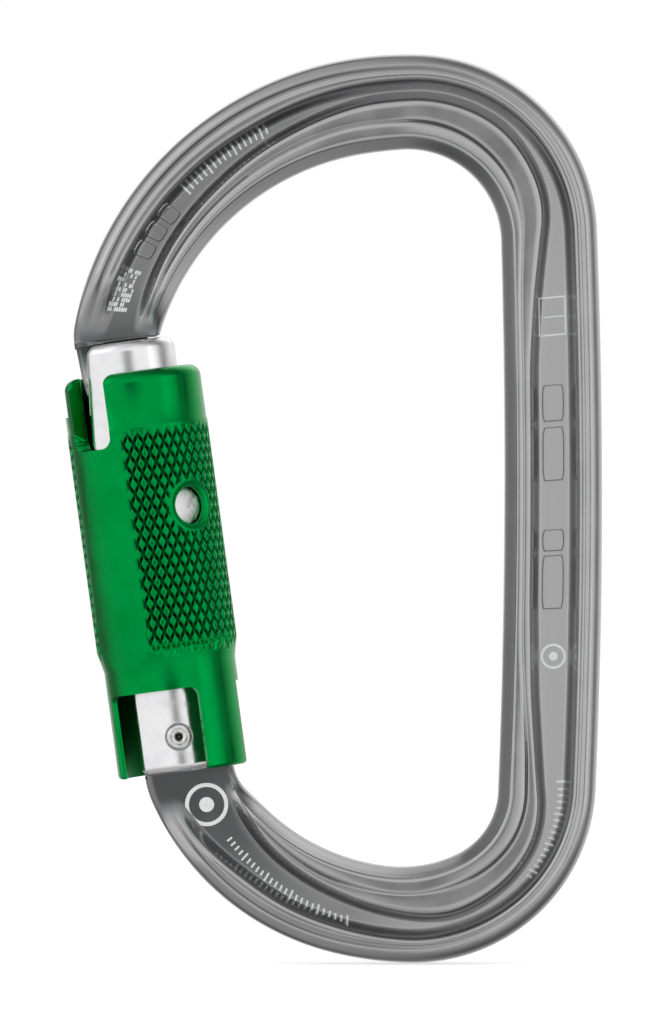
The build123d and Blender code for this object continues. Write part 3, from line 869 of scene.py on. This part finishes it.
def ticks(start, end, low_share, high_share):
    """A row of plain tick marks of two lengths along the bar."""
    made = []
    for n in range(int((end - start) / TICK_PITCH)):
        u = start + n * TICK_PITCH
        middle = np.interp(u, [start, end], [sum(low_share) / 2, sum(high_share) / 2])
        reach = (low_share[1] - low_share[0]) / 2 * (SHORT_TICK if n % LONG_TICK_EVERY else 1.0)
        made.append(pad("tick", u, u + TICK_WIDTH, middle - reach, middle + reach, MARK_LIFT))
    return made


def dots(rng):
    """A patch of small squares scattered on a grid, carrying no data."""
    (low_u, high_u), (low_share, high_share) = DOT_PATCH
    step_u, step_share = (high_u - low_u) / DOT_COUNT, (high_share - low_share) / DOT_COUNT
    made = []
    for i in range(DOT_COUNT):
        for j in range(DOT_COUNT):
            if rng.random() < DOT_CHANCE:
                u, share = low_u + step_u * i, low_share + step_share * j
                end_u, end_share = u + DOT_SIZE * step_u, share + DOT_SIZE * step_share
                made.append(pad("dot", u, end_u, share, end_share, MARK_LIFT))
    return made


def laser_marks():
    """Generic stand-ins for the laser marks: a dot patch, ticks, rings and an outline. No lettering."""
    pale = dots(random.Random(7))
    for row in TICK_ROWS:
        pale += ticks(*row)
    for name, u, share, outer_r, inner_r, dot_r in RINGS:
        pale.append(ring_mark(name, u, share, outer_r, inner_r))
        pale.append(ring_mark(name + "_dot", u, share, dot_r, DOT_HOLE_R))
    for strip in OUTLINE:
        pale.append(pad("outline", *strip, MARK_LIFT))
    dress(join("laser_marks", pale), laser_material(), "frame")


def blank_bars():
    """Blank embossed bars where the forging's marks are."""
    raised = []
    for places, shares, blasted_brightened in (ARM_BARS, SPINE_BARS):
        for low_u, high_u in places:
            bar = pad("bar", low_u, high_u, *shares, EMBOSS)
            # Painted shade where a bar is not blast-finished.
            store(bar, "flat_shade", [1.0 - blasted_brightened] * len(bar.data.vertices))
            # Painted brightening with the blast finish.
            store(bar, "blasted_brightened", [blasted_brightened] * len(bar.data.vertices))
            raised.append(bar)
    dress(join("blank_bars", raised), bpy.data.materials["anodised_forging"], "frame")


# The three springs: where each starts and ends along its axis, the radius to the middle of its wire, the
# radius of the wire and the number of turns. The lock pin's spring lies across the gate.
PIN_OUTWARD = Vector((math.sin(math.radians(PIN_AZIMUTH)), -math.cos(math.radians(PIN_AZIMUTH)), 0))
GATE_COIL = (13.6, 23.95, 1.55, 0.3, 9)
SLEEVE_COIL = (13.3, 24.3, 6.1, 0.5, 8)
PIN_COIL = (1.05, 5.7, 1.6, 0.22, 6)
COIL_STEPS = 28
WIRE_SIDES = 10


def coil(name, low, high, mean_r, wire_r, turns, axis=Vector((0, 0, 1)), foot=Vector()):
    """A helical spring along an axis from a foot, in gate coordinates, as a closed tube."""
    steps = turns * COIL_STEPS
    to_axis = Matrix.Translation(foot) @ Vector((0, 0, 1)).rotation_difference(axis).to_matrix().to_4x4()
    vertices = []
    for i in range(steps + 1):
        angle = 2 * math.pi * turns * i / steps
        along = low + wire_r + (high - low - 2 * wire_r) * i / steps
        for j in range(WIRE_SIDES):
            around = 2 * math.pi * j / WIRE_SIDES
            radius = mean_r + wire_r * math.cos(around)
            height = along + wire_r * math.sin(around)
            point = Vector((radius * math.cos(angle), radius * math.sin(angle), height))
            vertices.append(GATE @ ((to_axis @ point) * MM))
    faces = tube_faces(steps + 1, WIRE_SIDES)
    faces.append(tuple(range(WIRE_SIDES))[::-1])
    faces.append(tuple(range(steps * WIRE_SIDES, (steps + 1) * WIRE_SIDES)))
    return new_object(name, vertices, faces)


def make_springs(material):
    """The three springs as wound wire."""
    pin_foot = Vector((0, 0, PIN_AXIAL))
    gate_coil = coil("gate_spring_coil", *GATE_COIL)
    sleeve_coil = coil("sleeve_spring_coil", *SLEEVE_COIL)
    pin_coil = coil("lock_pin_spring_coil", *PIN_COIL, PIN_OUTWARD, pin_foot)
    dress(gate_coil, material, "gate", "gate_spring")
    dress(sleeve_coil, material, "gate", "sleeve_spring")
    dress(pin_coil, material, "gate", "lock_pin_spring")
    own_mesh(gate_coil)
    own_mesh(pin_coil)


RIVET_HEAD_R = 1.72
RIVET_FACE = 4.95
RIVET_SIDES = 64
# The rivet's section from the dimple in its middle outwards: share of the radius, and how far below the face.
RIVET_SECTION = [
    (0.0, 0.55), (0.10, 0.55), (0.17, 0.40), (0.22, 0.45), (0.32, 0.08), (0.45, 0.0), (0.70, 0.0),
    (0.84, 0.06), (0.94, 0.22), (0.97, 0.45), (0.97, 0.75), (0.9, 0.78),
]
DIMPLE_SHARE = 0.3


def make_rivet(material):
    """The hinge rivet: a shaft with a set, dimpled head at each end."""
    front = [(RIVET_HEAD_R * share, drop - RIVET_FACE, share < DIMPLE_SHARE) for share, drop in RIVET_SECTION]
    back = [(radius, -y, in_dimple) for radius, y, in_dimple in reversed(front)]
    vertices, sunk = [], []
    for radius, y, in_dimple in front + back:
        for j in range(RIVET_SIDES):
            angle = 2 * math.pi * j / RIVET_SIDES
            vertices.append(GATE @ (Vector((radius * math.sin(angle), y, radius * math.cos(angle))) * MM))
            sunk.append(1.0 if in_dimple else 0.0)
    obj = new_object("rivet", vertices, tube_faces(len(front + back), RIVET_SIDES))
    # The dimples get painted shade.
    store(obj, "sunk", sunk)
    work = bmesh.new()
    work.from_mesh(obj.data)
    bmesh.ops.remove_doubles(work, verts=work.verts, dist=WELD)
    bmesh.ops.recalc_face_normals(work, faces=work.faces)
    work.to_mesh(obj.data)
    work.free()
    shade(obj, 50)
    dress(obj, material, "gate", "hinge_rivet")


def finish_cad_nodes():
    """Materials for the CAD nodes that keep their shape."""
    looks = {
        "gate": gate_material(),
        "lock_pin": steel_material("pin_steel", (0.90, 0.89, 0.89), 0.42),
        "stop_pin": steel_material("plain_steel", (0.6, 0.6, 0.61), 0.3),
        "upper_bush": bush_material(),
    }
    looks["gate_plunger"] = looks["retaining_ring"] = looks["stop_pin"]
    looks["lower_bush"] = looks["upper_bush"]
    for name, material in looks.items():
        for slot in frame["nodes"][name].material_slots:
            slot.material = material
    make_springs(steel_material("spring_wire", (0.5, 0.5, 0.51), 0.28))
    make_rivet(steel_material("rivet_steel", (0.84, 0.84, 0.83), 0.24))


# Soft lights: name, width and height, place from the middle of the object, power. In metres and watts.
SOFTBOXES = [
    ("key", (0.6, 0.8), (-0.7, -0.35, 0.55), 0.5),
    ("fill", (0.5, 0.8), (0.8, -0.35, 0.15), 0.35),
    ("back", (0.8, 0.5), (0.1, 0.7, 0.5), 0.5),
]
# The floor: its radius and its depth below the object in metres, then its colour and the light of its own.
FLOOR_RADIUS = 3.0
FLOOR_DROP = 0.0002
FLOOR_TONE = 0.86
FLOOR_GLOW = 0.6


def softbox(name, size, place, aim, power):
    """An area light facing a point."""
    data = bpy.data.lights.new(name, "AREA")
    data.shape = "RECTANGLE"
    data.size, data.size_y = size
    data.energy = power
    obj = bpy.data.objects.new(name, data)
    bpy.context.collection.objects.link(obj)
    obj.location = place
    obj.rotation_euler = (aim - place).to_track_quat("-Z", "Y").to_euler()


# The light tent's brightness, by angle in degrees from straight in front of the object: a dark spot in front,
# then bright cloth, a gap at the side and a bright back. The gap sits farther back on the left.
TENT_RIGHT = [
    (0, 0.24), (7, 0.32), (14, 0.80), (22, 0.95), (60, 0.92), (72, 0.68), (84, 0.34), (98, 0.34),
    (114, 0.62), (128, 0.85),
]
TENT_LEFT = [
    (0, 0.24), (7, 0.32), (14, 0.80), (22, 0.95), (92, 0.90), (108, 0.62), (120, 0.30), (142, 0.30),
    (156, 0.80),
]


def rings_of_light(tree, angle, levels):
    """Brightness by angle, as a colour ramp."""
    made = node(tree, "ShaderNodeValToRGB")
    stops = made.color_ramp.elements
    for stop, (degrees, value) in zip(stops, (levels[0], levels[-1])):
        stop.position = degrees / 180
        stop.color = (value, value, value, 1)
    for degrees, value in levels[1:-1]:
        stops.new(degrees / 180).color = (value, value, value, 1)
    tree.links.new(angle, made.inputs[0])
    return made.outputs[0]


def math_node(tree, operation, a, b=None):
    """A maths node fed by sockets or numbers."""
    made = node(tree, "ShaderNodeMath", operation=operation)
    for socket, value in zip(made.inputs, (a, b)):
        if value is None:
            continue
        if isinstance(value, float):
            socket.default_value = value
        else:
            tree.links.new(value, socket)
    return made.outputs[0]


def tent(tree):
    """Brightness of the surroundings by direction."""
    where = node(tree, "ShaderNodeTexCoord")
    split = node(tree, "ShaderNodeSeparateXYZ")
    tree.links.new(where.outputs["Generated"], split.inputs[0])
    forward = math_node(tree, "MULTIPLY", split.outputs["Y"], -1.0)
    angle = math_node(tree, "DIVIDE", math_node(tree, "ARCCOSINE", forward), math.pi)
    left, right = rings_of_light(tree, angle, TENT_LEFT), rings_of_light(tree, angle, TENT_RIGHT)
    both = mix(tree, ramp(tree, split.outputs["X"], 0.0, 1.0, -0.3, 0.3), left, right)
    below = ramp(tree, split.outputs["Z"], 0.50, 1.0, -0.75, -0.15)
    above = ramp(tree, split.outputs["Z"], 1.0, 0.72, 0.3, 0.9)
    return math_node(tree, "MULTIPLY", math_node(tree, "MULTIPLY", both, below), above)


def make_floor(centre):
    """A pale round floor just under the object, left out of mirror reflections."""
    disc = bmesh.new()
    bmesh.ops.create_circle(disc, cap_ends=True, segments=96, radius=FLOOR_RADIUS)
    mesh = bpy.data.meshes.new("floor")
    disc.to_mesh(mesh)
    disc.free()
    floor = bpy.data.objects.new("floor", mesh)
    bpy.context.collection.objects.link(floor)
    floor.location = (centre.x, 0, cad_low[2] - FLOOR_DROP)
    pale = bpy.data.materials.new("pale_floor")
    pale.use_nodes = True
    shader = pale.node_tree.nodes["Principled BSDF"]
    shader.inputs["Base Color"].default_value = (FLOOR_TONE, FLOOR_TONE, FLOOR_TONE, 1)
    shader.inputs["Roughness"].default_value = 0.9
    shader.inputs["Emission Color"].default_value = (1, 1, 1, 1)
    shader.inputs["Emission Strength"].default_value = FLOOR_GLOW
    mesh.materials.append(pale)
    floor.visible_glossy = False


def make_world():
    """White behind the object, and the light tent for everything that lights it or is reflected in it."""
    world = bpy.data.worlds.new("studio")
    bpy.context.scene.world = world
    world.use_nodes = True
    tree = world.node_tree
    tree.nodes.clear()
    out = node(tree, "ShaderNodeOutputWorld")
    backdrop = node(tree, "ShaderNodeBackground", Strength=1.0, Color=(1, 1, 1, 1))
    around = node(tree, "ShaderNodeBackground", Strength=1.0)
    tree.links.new(tent(tree), around.inputs["Color"])
    choose = node(tree, "ShaderNodeMixShader")
    path = node(tree, "ShaderNodeLightPath")
    tree.links.new(path.outputs["Is Camera Ray"], choose.inputs[0])
    tree.links.new(around.outputs[0], choose.inputs[1])
    tree.links.new(backdrop.outputs[0], choose.inputs[2])
    tree.links.new(choose.outputs[0], out.inputs[0])


def studio():
    """Pale floor, pale surroundings and soft lights."""
    centre = (Vector(cad_low) + Vector(cad_high)) / 2
    make_floor(centre)
    make_world()
    for name, size, offset, power in SOFTBOXES:
        softbox(name, size, centre + Vector(offset), centre, power)
    bpy.context.scene.view_settings.view_transform = "Standard"


# The photograph is a frontal view with almost no perspective: a long lens, level, square to the face.
# The middle of the view along X and Z, the height it takes in and its distance, then the width of the sensor.
VIEW_CENTRE = (-10.1, -46.1)
VIEW_HEIGHT = 130.26
VIEW_DISTANCE = 1500.0
SENSOR = 36.0
CLIP = (0.01, 20)


def camera():
    """Long-lens camera facing the front."""
    data = bpy.data.cameras.new("camera")
    data.sensor_width = SENSOR
    data.lens = SENSOR * VIEW_DISTANCE / VIEW_HEIGHT
    data.clip_start, data.clip_end = CLIP
    obj = bpy.data.objects.new("camera", data)
    bpy.context.collection.objects.link(obj)
    obj.location = (VIEW_CENTRE[0] * MM, -VIEW_DISTANCE * MM, VIEW_CENTRE[1] * MM)
    obj.rotation_euler = (math.pi / 2, 0, 0)
    bpy.context.scene.camera = obj


make_frame()
laser_marks()
blank_bars()
make_sleeve()
finish_cad_nodes()
studio()
camera()
